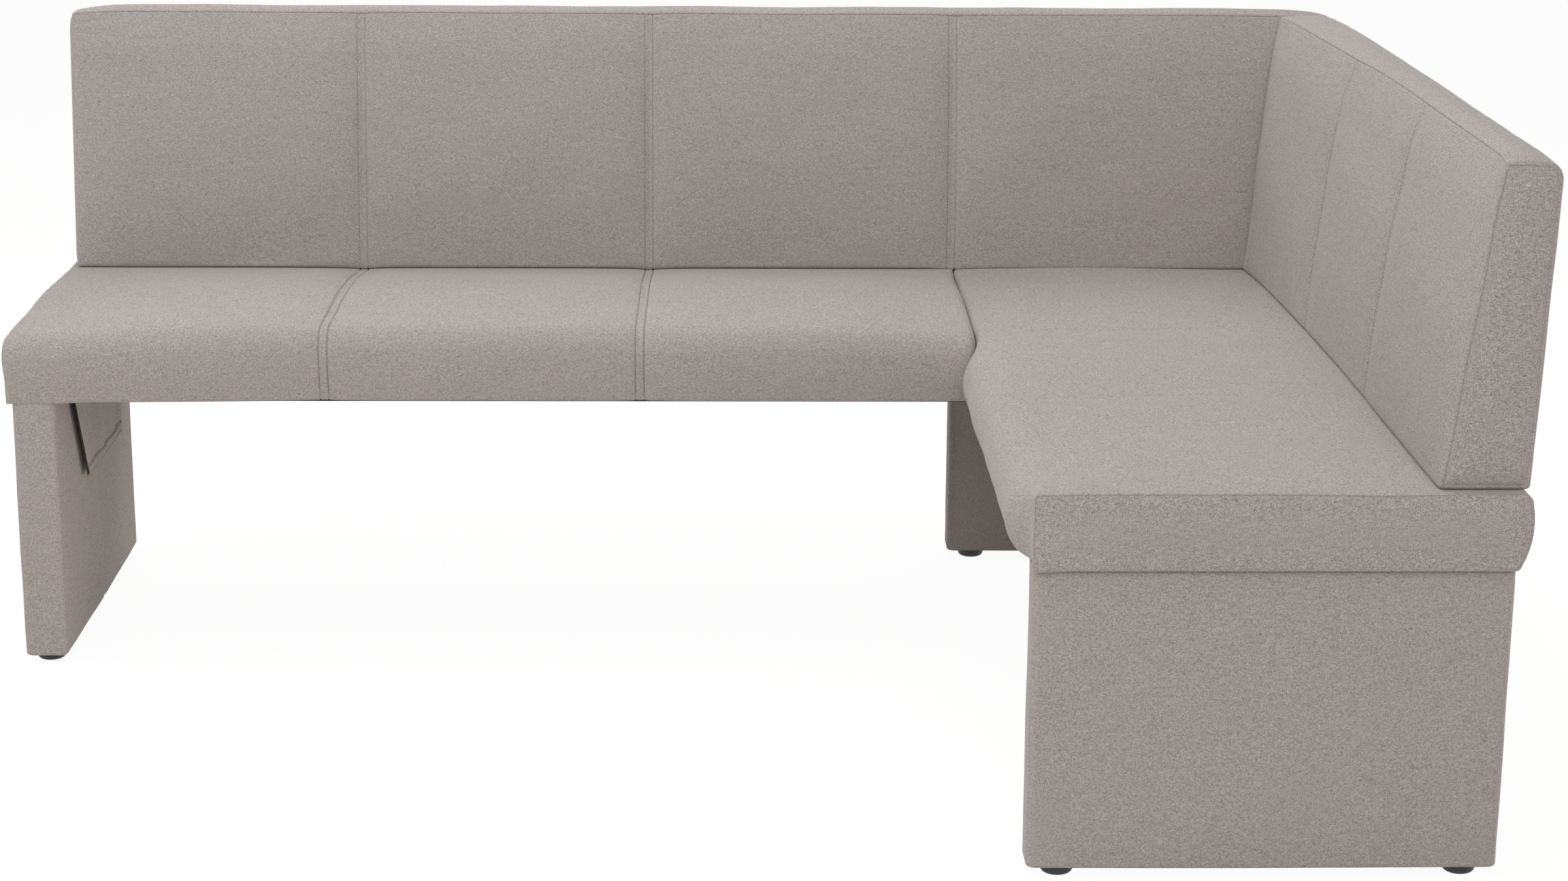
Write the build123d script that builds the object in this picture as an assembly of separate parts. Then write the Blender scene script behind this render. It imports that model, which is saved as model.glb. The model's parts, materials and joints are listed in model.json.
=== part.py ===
from build123d import *
import os
from math import sqrt

# Upholstered corner bench. Millimetres, +X to the right along the long bench, +Y to the wall
# behind it, +Z up, origin on the floor at the middle of the bench's outline.

# Overall envelope
long_side = 1970.0
short_side = 1400.0
total_height = 882.0

# Seats
seat_height = 486.0
seat_thickness = 95.0
seat_depth = 585.0
seat_crown = 6.0
seat_nose_radius = 42.0
seat_rear_radius = 12.0
side_tuck = 9.0
tuck_share = 0.3
seat_join_gap = 0.6

# Backs
back_foot = 110.0
back_head = 73.0
back_lean = 14.0
back_crown = 9.0
back_top_crown = 8.0
back_edge_radius = 15.0
back_base_radius = 9.0
back_end_inset = 18.0
back_seat_gap = 0.3
back_corner_gap = 1.0

# Sewn panels: two equal panels from the left end of the long bench, then one up to the corner;
# on the short bench an end panel and a middle panel, then the corner panel
long_panel = 441.0
short_end_panel = 437.0
short_middle_panel = 400.0
corner_seam_offset = 3.0
seam_depth = 3.0
seam_crown = 1.0
seam_shoulder = 40.0

# Fabric covers with their wadding, and the foam under them
cover_wall = 3.0
soft_gap = 0.4
hem_thickness = 2.0
hem_width = 30.0
dust_thickness = 1.0
dust_inset = 12.0
front_foam = 36.0
end_pad = 4.0

# Seat frames
rail_height = 50.0
front_rail = 24.0
rear_rail = 38.0
cross_rail = 24.0
end_rail = 12.0
frame_gap = 1.0
plank_thickness = 24.0
plank_width = 120.0
strap_width = 60.0
strap_thickness = 2.0
strap_count = 4

# Back frames
back_frame_depth = 30.0
back_rail_height = 40.0
back_foot_rail = 48.0
upright_width = 24.0
rear_board = 3.0
back_top_foam = 10.0

# Cheek panels that carry the seats
cheek_thickness = 60.0
cheek_radius = 12.0
cheek_crown = 2.0
cheek_wall = 5.0
cheek_base_wall = 2.0
cheek_front_inset = 4.0
cheek_rear_inset = 11.0
cheek_end_inset = 11.0
corner_cheek_inset = 2.0
cheek_board = 16.0
batten_width = 40.0

# Floor glides
glide_height = 14.0
glide_diameter = 40.0
glide_rounding = 6.0
glide_recess = 12.0
glide_recess_depth = 4.0
glide_inset = 40.0
glide_screw = 4.0
glide_screw_length = 34.0
glide_screw_head = 8.0
glide_screw_head_height = 2.5

# Fasteners
bolt = 8.0
bolt_clearance = 0.3
screw_clearance = 0.1
washer_diameter = 17.0
washer_thickness = 1.6
hex_width = 13.0
head_height = 5.3
insert_diameter = 12.0
insert_height = 25.0
insert_bore_gap = 0.2
bolt_tip_gap = 4.0
back_bolt_edge = 200.0
back_bolt_count = 4
plate_width = 40.0
plate_thickness = 4.0
plate_margin = 20.0
plate_front = 110.0
plate_rear = 170.0
joining_screw_length = 48.0

# Steel angles that hold each cheek to the seat above it
bracket_length = 260.0
bracket_reach = 40.0
bracket_height = 60.0
bracket_steel = 3.0
bracket_gap = 0.2
bracket_screw = 5.0
bracket_screw_head = 10.0
bracket_screw_head_height = 2.2
bracket_screw_length = 22.0
bracket_screw_spacing = 100.0
bracket_screw_edge = 15.0

# Cloth flap that hangs over the angle on the left cheek
flap_drop = 150.0
flap_cloth = 1.6
flap_lining = 1.0
flap_layer_gap = 0.3
flap_standoff = 10.5
flap_top_gap = 0.5
flap_top_front = 84.0
flap_low_front = 168.0
flap_rear = 146.0
flap_folds = 3
flap_top_fold = 0.4
flap_hem_fold = 5.4
lining_proud = 5.0

# Places worked out from the driving dimensions, in the frame of one bench: s runs along the
# bench, v is 0 at the rear of the seat and falls towards the front, z is the height
seat_low = seat_height - seat_thickness
cover_low = seat_low + dust_thickness
frame_low = cover_low + hem_thickness
cavity = cover_wall + seam_depth
rail_top = frame_low + rail_height
strap_top = rail_top + strap_thickness
rear_rail_top = seat_height - cavity - soft_gap
frame_rear = side_tuck + cavity + frame_gap
frame_front = seat_depth - front_foam
long_length = long_side - back_lean - seat_depth - seat_join_gap
short_length = short_side - back_lean
back_low = seat_height + back_seat_gap
cheek_width = seat_depth - cheek_front_inset - cheek_rear_inset
back_top = total_height - back_top_crown
long_seams = [back_end_inset + long_panel, back_end_inset + 2 * long_panel]
corner_seam = long_side - back_lean - seat_depth - corner_seam_offset
short_seam_near = short_length - back_end_inset - short_end_panel
short_seams = [short_seam_near - short_middle_panel, short_seam_near]
bolt_bore = bolt + 2 * bolt_clearance
diagonal = sqrt(0.5)
long_place = Location((-long_side / 2, short_side / 2 - back_lean, 0))
short_place = Location((long_side / 2 - back_lean, short_side / 2 - back_lean, 0), (0, 0, -90))


def block(s0, s1, v0, v1, z0, z1):
    """Rectangular solid between two corners."""
    centre = Pos((s0 + s1) / 2, (v0 + v1) / 2, (z0 + z1) / 2)
    return centre * Box(s1 - s0, v1 - v0, z1 - z0)


def rod(s, v, z0, z1, diameter):
    """Upright round bar from z0 to z1."""
    return Pos(s, v, (z0 + z1) / 2) * Cylinder(diameter / 2, z1 - z0)


def crosswise_rod(s0, s1, v, z, diameter):
    """Level round bar along the bench from s0 to s1."""
    middle = Pos((s0 + s1) / 2, v, z)
    return middle * Rot(0, 90, 0) * Cylinder(diameter / 2, abs(s1 - s0))


def hexagon(s, v, z0, z1, across):
    """Upright hexagonal prism, sized across its flats."""
    outline = RegularPolygon(across / 2, 6, major_radius=False)
    return Pos(s, v, z0) * extrude(outline, amount=z1 - z0)


def cut(solid, tools):
    """Cut several tools from a solid."""
    for tool in tools:
        solid = solid - tool
    return solid


def along(s):
    """Plane square to the bench at station s, its x to the rear and its y up."""
    return Plane(origin=(s, 0, 0), x_dir=(0, 1, 0), z_dir=(1, 0, 0))


def bar(points, s0, s1):
    """Straight bar along the bench with a flat-sided section given as (v, z) points."""
    outline = make_face(Polyline(*points, close=True))
    return extrude(along(s0) * outline, amount=s1 - s0)


def sewn_form(marks, full, sewn, flat_starts):
    """Cushion along its marks, drawn in at each end and seam and full between their shoulders.

    A span that begins at one of flat_starts lies against a neighbour and stays flat.
    """
    stations = [(marks[0], sewn)]
    for before, after in zip(marks, marks[1:]):
        if before not in flat_starts:
            stations.append((before + seam_shoulder, full))
            stations.append((after - seam_shoulder, full))
        stations.append((after, sewn))
    return loft([along(s) * outline for s, outline in stations], ruled=True)


# Seat cushions


def seat_outline(crown, draw, inset=0.0, low=cover_low):
    """Section of a seat: tucked rear, flat strip under the back, crowned top, round nose."""
    top = seat_height - inset
    rear = -inset
    flat = back_foot + back_corner_gap
    nose = seat_nose_radius - inset
    nose_start = seat_depth - draw - seat_nose_radius
    nose_end = nose_start + nose
    rear_edge = top - seat_rear_radius
    round_off = seat_rear_radius * (1 - diagonal)
    middle = (cover_low + seat_height) / 2
    rear_foot = (rear - side_tuck, low)
    front_foot = (side_tuck - nose_end, low)
    edges = [
        ThreePointArc(rear_foot, (rear - tuck_share * side_tuck, middle), (rear, rear_edge)),
        ThreePointArc(
            (rear, rear_edge), (rear - round_off, top - round_off), (rear - seat_rear_radius, top)
        ),
        Line((rear - seat_rear_radius, top), (-flat, top)),
        ThreePointArc(
            (-flat, top),
            (-(flat + nose_start) / 2, top - draw / 2 + crown),
            (-nose_start, top - draw),
        ),
        ThreePointArc(
            (-nose_start, top - draw),
            (-nose_start - nose * diagonal, top - draw - nose * (1 - diagonal)),
            (-nose_end, top - draw - nose),
        ),
        ThreePointArc(
            (-nose_end, top - draw - nose),
            (tuck_share * side_tuck - nose_end, (low + top - draw - nose) / 2),
            front_foot,
        ),
        Line(front_foot, rear_foot),
    ]
    return make_face(edges)


def seat_form(length, seams, flat_starts):
    """Outer form of a seat cushion with its crowned panels and sewn seams."""
    full = seat_outline(seat_crown, 0.0)
    sewn = seat_outline(seam_crown, seam_depth)
    return sewn_form([0.0] + seams + [length], full, sewn, flat_starts)


def seat_prism(s0, s1, inset, low):
    """Plain inner form of a seat, for its hollow and its foam."""
    return extrude(along(s0) * seat_outline(seam_crown, 0.0, inset, low), amount=s1 - s0)


def seat_unit(length, seams, flat_starts, planks, cross_rails, screws, joins, bolts):
    """One upholstered seat: cover, foam, timber frame, webbing and dust cover."""
    cover = seat_form(length, seams, flat_starts)
    cover = cover - seat_prism(cavity, length - cavity, cavity, frame_low)
    cover = cover - block(
        hem_width, length - hem_width, hem_width - seat_depth, -hem_width, seat_low, frame_low
    )
    pilot = bracket_screw + 2 * screw_clearance
    holes = [rod(s, v, seat_low, total_height, bolt_bore) for s, v in joins + bolts]
    holes = holes + [rod(s, v, seat_low, rail_top, pilot) for s, v in screws]
    cover = cut(cover, [rod(s, v, seat_low, frame_low, bolt_bore) for s, v in joins])
    cover = cut(cover, [rod(s, v, seat_low, total_height, bolt_bore) for s, v in bolts])
    start = cavity + end_pad
    end = length - cavity - end_pad
    foam = seat_prism(
        cavity + soft_gap, length - cavity - soft_gap, cavity + soft_gap, frame_low
    )
    rear_inner = -frame_rear - rear_rail
    front_inner = front_rail - frame_front
    foam = foam - block(start, end, -frame_front, -frame_rear, seat_low, strap_top)
    foam = foam - block(start, end, rear_inner, -frame_rear, seat_low, total_height)
    rear = block(start, end, rear_inner, -frame_rear, frame_low, rear_rail_top)
    front = block(start, end, -frame_front, front_inner, frame_low, rail_top)
    rails = [cut(front, holes), cut(rear, holes)]
    plank_top = frame_low + plank_thickness
    crossing = []
    boards = []
    for side, outer, inward in [(0, start, 1), (1, end, -1)]:
        on_plank = side in planks
        inner = outer + inward * (end_rail if on_plank else cross_rail)
        base = plank_top if on_plank else frame_low
        s0, s1 = sorted([outer, inner])
        crossing.append(block(s0, s1, front_inner, rear_inner, base, rail_top))
        if on_plank:
            s0, s1 = sorted([outer, outer + inward * plank_width])
            boards.append(block(s0, s1, front_inner, rear_inner, frame_low, plank_top))
    for s in cross_rails:
        half = cross_rail / 2
        crossing.append(block(s - half, s + half, front_inner, rear_inner, frame_low, rail_top))
    crossing = [cut(rail, holes) for rail in crossing]
    boards = [cut(board, holes) for board in boards]
    pitch = (rear_inner - front_inner) / strap_count
    straps = []
    for index in range(strap_count):
        middle = front_inner + (index + 0.5) * pitch
        straps.append(
            block(start, end, middle - strap_width / 2, middle + strap_width / 2, rail_top, strap_top)
        )
    dust = block(
        dust_inset, length - dust_inset, dust_inset - seat_depth, -dust_inset, seat_low, cover_low
    )
    return cover, foam, rails, crossing, boards, straps, cut(dust, holes)


# Backs


def back_rear(z):
    """Depth of the leaning rear face at height z."""
    return back_lean * (z - back_low) / (back_top - back_low)


def back_front(z):
    """Depth of the front face's chord at height z."""
    rise = (z - back_low) / (back_top - back_low)
    return -back_foot + (back_foot - back_head + back_lean) * rise


def back_outline(crown, lift, draw, inset=0.0, low=back_low):
    """Section of a back: thick at its foot, thin at its head, with a crowned front and top."""
    top = back_top - inset
    edge = back_edge_radius
    base = back_base_radius
    skip = 1 - diagonal
    rear_foot = -inset
    rear_head = back_lean - inset
    front_foot = inset + draw - back_foot
    front_head = back_lean - back_head + inset + draw
    low_edge = low + base
    high_edge = top - draw - edge
    middle = (low_edge + high_edge) / 2
    chord = (front_foot + front_head) / 2
    edges = [
        Line((rear_foot - base, low), (front_foot + base, low)),
        ThreePointArc(
            (front_foot + base, low),
            (front_foot + base * skip, low + base * skip),
            (front_foot, low_edge),
        ),
        ThreePointArc(
            (front_foot, low_edge), (chord - crown, middle), (front_head, high_edge)
        ),
        ThreePointArc(
            (front_head, high_edge),
            (front_head + edge * skip, top - draw - edge * skip),
            (front_head + edge, top - draw),
        ),
        ThreePointArc(
            (front_head + edge, top - draw),
            ((front_head + rear_head) / 2, top - draw / 2 + lift),
            (rear_head - edge, top),
        ),
        ThreePointArc(
            (rear_head - edge, top),
            (rear_head - edge * skip, top - edge * skip),
            (rear_head, top - edge),
        ),
        Line((rear_head, top - edge), (rear_foot, low_edge)),
        ThreePointArc(
            (rear_foot, low_edge),
            (rear_foot - base * skip, low + base * skip),
            (rear_foot - base, low),
        ),
    ]
    return make_face(edges)


def back_form(start, end, seams, flat_starts):
    """Outer form of a back with its crowned panels and sewn seams."""
    full = back_outline(back_crown, back_top_crown, 0.0)
    sewn = back_outline(seam_crown, seam_crown, seam_depth)
    return sewn_form([start] + seams + [end], full, sewn, flat_starts)


def back_prism(s0, s1, inset, low):
    """Plain inner form of a back, for its hollow and its foam."""
    return extrude(along(s0) * back_outline(seam_crown, seam_crown, 0.0, inset, low), amount=s1 - s0)


def corner_wedge(offset):
    """The room that the long back takes at the start of the short one, plus an offset."""
    reach = 2 * back_foot
    low = back_low - reach
    high = back_top + reach
    points = [
        (-reach, low),
        (offset - back_front(low), low),
        (offset - back_front(high), high),
        (-reach, high),
    ]
    side = Plane(origin=(0, reach, 0), x_dir=(1, 0, 0), z_dir=(0, -1, 0))
    return extrude(side * make_face(Polyline(*points, close=True)), amount=3 * reach)


def back_unit(start, end, seams, flat_starts, uprights, bolts, against_long):
    """One upholstered back: cover, foam, rails, uprights and rear board."""
    open_low = back_low - back_base_radius
    cover = back_form(start, end, seams, flat_starts)
    hollow = back_prism(start + cavity, end - cavity, cavity, open_low)
    gap = cavity + soft_gap
    foam = back_prism(start + gap, end - gap, gap, open_low)
    foam = foam - block(start, end, -2 * back_foot, 2 * back_foot, 0, back_low)
    first = start + cavity + end_pad
    if against_long:
        cover = cover - corner_wedge(back_corner_gap)
        hollow = hollow - corner_wedge(back_corner_gap + cavity)
        foam = foam - corner_wedge(back_corner_gap + gap)
        first = back_foot + back_corner_gap + gap + end_pad
    cover = cover - hollow
    last = end - cavity - end_pad
    board_rear = gap
    frame_back = board_rear + rear_board
    head_top = back_top - gap - back_top_foam
    head_low = head_top - back_rail_height
    foot_top = back_low + back_rail_height

    def leaning(z0, z1, near, far):
        return [
            (back_rear(z0) - near, z0),
            (back_rear(z1) - near, z1),
            (back_rear(z1) - far, z1),
            (back_rear(z0) - far, z0),
        ]

    deep = frame_back + back_frame_depth
    foot_deep = frame_back + back_foot_rail
    room = bar(leaning(back_low, head_top, -back_foot, deep), first, last)
    foot_room = bar(leaning(back_low, foot_top, -back_foot, foot_deep), first, last)
    foam = foam - room - foot_room
    foot = bar(leaning(back_low, foot_top, frame_back, foot_deep), first, last)
    head = bar(leaning(head_low, head_top, frame_back, deep), first, last)
    insert_top = back_low + insert_height
    foot = cut(foot, [rod(s, v, back_low, insert_top, insert_diameter) for s, v in bolts])
    foot = cut(foot, [rod(s, v, back_low, foot_top, bolt_bore) for s, v in bolts])
    posts = []
    for s in uprights:
        s0 = min(max(s - upright_width / 2, first), last - upright_width)
        posts.append(bar(leaning(foot_top, head_low, frame_back, deep), s0, s0 + upright_width))
    board = bar(leaning(back_low, head_top, board_rear, frame_back), first, last)
    return cover, foam, [foot, head], posts, board


# Cheek panels


def cheek_slab(inset, z0, z1, s0, crown=0.0):
    """Upright rounded slab; a crowned one swells a little on both broad faces."""
    front = cheek_rear_inset + cheek_width - inset
    rear = cheek_rear_inset + inset
    near = s0 + inset
    far = s0 + cheek_thickness - inset
    radius = max(cheek_radius - inset, 1.0)
    skip = radius * (1 - diagonal)
    middle = -(front + rear) / 2

    def side(s, out, v0, v1):
        if crown:
            return ThreePointArc((s, v0), (s + out * crown, middle), (s, v1))
        return Line((s, v0), (s, v1))

    def corner(s_in, s_out, v_in, v_out):
        s_mid = s_out + (s_in - s_out) / radius * skip
        v_mid = v_out + (v_in - v_out) / radius * skip
        return (s_mid, v_mid)

    low, high = radius - front, -rear - radius
    edges = [
        side(near, -1, high, low),
        ThreePointArc((near, low), corner(near + radius, near, low, -front), (near + radius, -front)),
        Line((near + radius, -front), (far - radius, -front)),
        ThreePointArc((far - radius, -front), corner(far - radius, far, low, -front), (far, low)),
        side(far, 1, low, high),
        ThreePointArc((far, high), corner(far - radius, far, high, -rear), (far - radius, -rear)),
        Line((far - radius, -rear), (near + radius, -rear)),
        ThreePointArc((near + radius, -rear), corner(near + radius, near, high, -rear), (near, high)),
    ]
    return extrude(Pos(0, 0, z0) * make_face(edges), amount=z1 - z0)


def glide_depths():
    """Depths of the two glides of a cheek, measured in from its front and rear edges."""
    return [-cheek_rear_inset - cheek_width + glide_inset, -cheek_rear_inset - glide_inset]


def bracket_depths():
    """Depths of the screws along the angle of a cheek."""
    middle = -cheek_rear_inset - cheek_width / 2
    return [middle - bracket_screw_spacing, middle, middle + bracket_screw_spacing]


def inner_face(s0, inward):
    """Station of a cheek's broad face on the side under the seat, at the top of its crown."""
    face = s0 + cheek_thickness if inward > 0 else s0
    return face + inward * cheek_crown


def cheek_unit(s0, inward):
    """One cheek panel from station s0: padded cover, two boards and the battens between them."""
    base = glide_height + cheek_base_wall
    axis = s0 + cheek_thickness / 2
    screws = [(axis, v) for v in glide_depths()]
    pilot = bracket_screw + 2 * screw_clearance
    face = inner_face(s0, inward)
    level = seat_low - bracket_height + bracket_screw_edge
    pilots = [crosswise_rod(face, axis, v, level, pilot) for v in bracket_depths()]
    cover = cheek_slab(0.0, glide_height, seat_low, s0, cheek_crown)
    rear = -cheek_rear_inset - cheek_wall
    front = cheek_wall - cheek_rear_inset - cheek_width
    near = s0 + cheek_wall
    far = s0 + cheek_thickness - cheek_wall
    cover = cover - block(
        near - soft_gap, far + soft_gap, front - soft_gap, rear + soft_gap, base, seat_low
    )
    screw_bore = glide_screw + 2 * screw_clearance
    cover = cut(cover, [rod(s, v, 0, base, screw_bore) for s, v in screws] + pilots)
    boards = [
        cut(block(near, near + cheek_board, front, rear, base, seat_low), pilots),
        cut(block(far - cheek_board, far, front, rear, base, seat_low), pilots),
    ]
    inner_near, inner_far = near + cheek_board, far - cheek_board
    low_top = base + batten_width
    high_low = seat_low - batten_width
    bottom = block(inner_near, inner_far, front, rear, base, low_top)
    top = block(inner_near, inner_far, front, rear, high_low, seat_low)
    bottom = cut(bottom, [rod(s, v, 0, low_top, screw_bore) for s, v in screws])
    top = cut(top, pilots)
    posts = [
        block(inner_near, inner_far, front, front + batten_width, low_top, high_low),
        block(inner_near, inner_far, rear - batten_width, rear, low_top, high_low),
    ]
    return cover, boards, [bottom, top] + posts


def glide(s, v):
    """Round plastic foot with a rounded lower rim and a recess for its screw."""
    body = rod(s, v, 0, glide_height, glide_diameter)
    body = fillet(body.edges().sort_by(Axis.Z)[0], glide_rounding)
    body = body - rod(s, v, 0, glide_recess_depth, glide_recess)
    return body - rod(s, v, 0, glide_height, glide_screw + 2 * screw_clearance)


def glide_fixing(s, v):
    """Pan-head wood screw through a glide into the cheek."""
    head = rod(s, v, glide_recess_depth - glide_screw_head_height, glide_recess_depth, glide_screw_head)
    return head + rod(s, v, glide_recess_depth, glide_recess_depth + glide_screw_length, glide_screw)


def bracket_stations(s0, inward):
    """Stations along the bench of an angle's two outer faces and of its screws into the seat."""
    face = inner_face(s0, inward) + inward * bracket_gap
    return face, face + inward * bracket_reach, face + inward * (bracket_reach - bracket_screw_edge)


def bracket_set(s0, inward):
    """Steel angle on the inner face of a cheek, its screws into the seat and into the cheek."""
    face, tip, seat_axis = bracket_stations(s0, inward)
    middle = -cheek_rear_inset - cheek_width / 2
    v0, v1 = middle - bracket_length / 2, middle + bracket_length / 2
    web = face + inward * bracket_steel
    low = seat_low - bracket_steel
    level = seat_low - bracket_height + bracket_screw_edge
    bore = bracket_screw + 2 * bolt_clearance
    flange = block(min(face, tip), max(face, tip), v0, v1, low, seat_low)
    plate = block(min(face, web), max(face, web), v0, v1, seat_low - bracket_height, seat_low)
    angle = flange + plate
    seat_screws, cheek_screws = [], []
    for v in bracket_depths():
        angle = angle - rod(seat_axis, v, low, seat_low, bore)
        angle = angle - crosswise_rod(face, web, v, level, bore)
        head = rod(seat_axis, v, low - bracket_screw_head_height, low, bracket_screw_head)
        seat_screws.append(head + rod(seat_axis, v, low, low + bracket_screw_length, bracket_screw))
        cap = web + inward * bracket_screw_head_height
        head = crosswise_rod(web, cap, v, level, bracket_screw_head)
        point = web - inward * bracket_screw_length
        cheek_screws.append(head + crosswise_rod(web, point, v, level, bracket_screw))
    return angle, seat_screws, cheek_screws


def back_bolt_set(s, v):
    """Long bolt up through the seat's rear rail into a threaded insert in the back."""
    washer_low = seat_low - washer_thickness
    insert_top = back_low + insert_height
    bore = bolt + 2 * screw_clearance
    body = hexagon(s, v, washer_low - head_height, washer_low, hex_width)
    body = body + rod(s, v, washer_low, insert_top - bolt_tip_gap, bolt)
    washer = rod(s, v, washer_low, seat_low, washer_diameter) - rod(s, v, washer_low, seat_low, bore)
    insert = rod(s, v, back_low, insert_top, insert_diameter - insert_bore_gap)
    insert = insert - rod(s, v, back_low, insert_top, bore)
    return body, washer, insert


def joining_set(v, screw_stations):
    """Flat plate under both seats where they meet, with a coach screw into each frame."""
    low = seat_low - plate_thickness
    s0 = screw_stations[0] - plate_margin
    s1 = screw_stations[1] + plate_margin
    plate = block(s0, s1, v - plate_width / 2, v + plate_width / 2, low, seat_low)
    plate = cut(plate, [rod(s, v, low, seat_low, bolt_bore) for s in screw_stations])
    screws = []
    for s in screw_stations:
        head = hexagon(s, v, low - head_height, low, hex_width)
        screws.append(head + rod(s, v, low, low + joining_screw_length, bolt))
    return plate, screws


# Hanging flap


def flap_edges(drop, cheek_front, cheek_rear):
    """Front and rear end of the flap at a distance below its sewn top edge."""
    share = drop / flap_drop
    front = cheek_front + flap_top_front + (flap_low_front - flap_top_front) * share
    return front, cheek_rear - flap_rear


def flap_sheet(hinge_s, top, thickness, offset, proud):
    """Hanging cloth from its sewn edge to its hem, in folds that deepen on the way down."""
    cheek_front = -cheek_rear_inset - cheek_width
    rows = []
    for drop, depth in [(0.0, flap_top_fold), (flap_drop, flap_hem_fold)]:
        front, rear = flap_edges(drop, cheek_front, -cheek_rear_inset)
        step = (rear - front) / (2 * flap_folds)
        swing = hinge_s + offset
        near, far = [], []
        for index in range(2 * flap_folds):
            v0 = front + index * step
            side = depth if index % 2 == 0 else -depth / 2
            near.append(
                ThreePointArc((swing, v0), (swing + side, v0 + step / 2), (swing, v0 + step))
            )
            outer = swing + thickness
            far.append(
                ThreePointArc((outer, v0), (outer + side, v0 + step / 2), (outer, v0 + step))
            )
        lead = front - proud
        ends = [
            Line((swing, lead), (swing + thickness, lead)),
            Line((swing, rear), (swing + thickness, rear)),
        ]
        if proud:
            ends.append(Line((swing, lead), (swing, front)))
            ends.append(Line((swing + thickness, lead), (swing + thickness, front)))
        rows.append(Pos(0, 0, top - drop) * make_face(near + far + ends))
    return loft(rows, ruled=True)


# Assembly

rear_bolt_v = -frame_rear - rear_rail / 2
left_cheek_s = cheek_end_inset
end_cheek_s = short_length - cheek_end_inset - cheek_thickness


def spread(first, last, count):
    """Evenly spaced stations from first to last."""
    return [first + (last - first) * index / (count - 1) for index in range(count)]


long_bolts = [
    (s, rear_bolt_v)
    for s in spread(back_bolt_edge, long_length - back_bolt_edge, back_bolt_count)
]
short_bolts = [
    (s, rear_bolt_v)
    for s in spread(seat_depth / 2, short_length - back_bolt_edge, back_bolt_count)
]
long_end_axis = long_length - cavity - end_pad - cross_rail / 2
short_front_axis = front_rail / 2 - frame_front
join_depths = [plate_front - seat_depth, -plate_rear]
long_joins = [(long_end_axis, v) for v in join_depths]
short_joins = [(-v, short_front_axis) for v in join_depths]


def seat_screw_spots(s0, inward):
    """Places of the screws that hold one cheek's angle to the seat."""
    return [(bracket_stations(s0, inward)[2], v) for v in bracket_depths()]


left_screws = seat_screw_spots(left_cheek_s, 1)
corner_screws = seat_screw_spots(corner_cheek_inset, 1)
end_screws = seat_screw_spots(end_cheek_s, -1)

hinge_s = left_cheek_s + cheek_thickness + flap_standoff
flap_top = seat_low - bracket_steel - flap_top_gap

long_seat = seat_unit(
    long_length, long_seams, [], [0], long_seams, left_screws, long_joins, long_bolts
)
corner_step = back_foot + back_corner_gap
short_seat = seat_unit(
    short_length,
    [corner_step] + short_seams,
    [0.0],
    [0, 1],
    short_seams,
    corner_screws + end_screws,
    short_joins,
    short_bolts,
)
long_back_end = long_side - back_lean
long_back = back_unit(
    back_end_inset,
    long_back_end,
    long_seams + [corner_seam, long_back_end - corner_step],
    [long_back_end - corner_step],
    [back_end_inset] + long_seams + [corner_seam, long_back_end],
    long_bolts,
    against_long=False,
)
short_back_end = short_length - back_end_inset
short_back = back_unit(
    0.0,
    short_back_end,
    short_seams,
    [],
    [0.0] + short_seams + [short_back_end],
    short_bolts,
    against_long=True,
)

nodes = {}


def add(place, name, shapes):
    """Put one or more solids of a bench into a named node, at their place in the whole."""
    listed = shapes if isinstance(shapes, list) else [shapes]
    nodes.setdefault(name, []).extend(place * shape for shape in listed)


benches = [("long", long_place, long_seat, long_back), ("short", short_place, short_seat, short_back)]
for bench, place, seat, back in benches:
    seat_names = ["cover", "foam", "rails", "cross_rails", None, "webbing", "dust_cover"]
    for name, shapes in zip(seat_names, seat):
        add(place, f"{bench}_seat_{name}" if name else "mounting_planks", shapes)
    back_names = ["cover", "foam", "rails", "uprights", "rear_board"]
    for name, shapes in zip(back_names, back):
        add(place, f"{bench}_back_{name}", shapes)

cheeks = [
    ("left", long_place, left_cheek_s, 1),
    ("corner", short_place, corner_cheek_inset, 1),
    ("end", short_place, end_cheek_s, -1),
]
for cheek, place, s0, inward in cheeks:
    for name, shapes in zip(["cover", "boards", "battens"], cheek_unit(s0, inward)):
        add(place, f"{cheek}_cheek_{name}", shapes)
    for v in glide_depths():
        add(place, "floor_glides", glide(s0 + cheek_thickness / 2, v))
        add(place, "glide_screws", glide_fixing(s0 + cheek_thickness / 2, v))
    bracket_names = ["cheek_brackets", "bracket_seat_screws", "bracket_cheek_screws"]
    for name, shapes in zip(bracket_names, bracket_set(s0, inward)):
        add(place, name, shapes)

for place, bolts in [(long_place, long_bolts), (short_place, short_bolts)]:
    for s, v in bolts:
        names = ["back_bolts", "back_bolt_washers", "back_inserts"]
        for name, shape in zip(names, back_bolt_set(s, v)):
            add(place, name, shape)

for v in join_depths:
    plate, screws = joining_set(v, [long_end_axis, long_back_end + short_front_axis])
    add(long_place, "joining_plates", plate)
    add(long_place, "joining_screws", screws)

flap = flap_sheet(hinge_s, flap_top, flap_cloth, 0.0, 0.0)
lining = flap_sheet(hinge_s, flap_top, flap_lining, -flap_lining - flap_layer_gap, lining_proud)
add(long_place, "access_flap", flap)
add(long_place, "flap_lining", lining)

os.makedirs("parts", exist_ok=True)
for name, shapes in nodes.items():
    export_step(shapes[0] if len(shapes) == 1 else Compound(children=shapes), f"parts/{name}.step")
print(len(nodes), "nodes,", sum(len(shapes) for shapes in nodes.values()), "solids")
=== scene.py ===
import bpy
import json
import numpy as np
from math import cos, pi, radians, sin
from mathutils import Matrix, Vector


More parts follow.
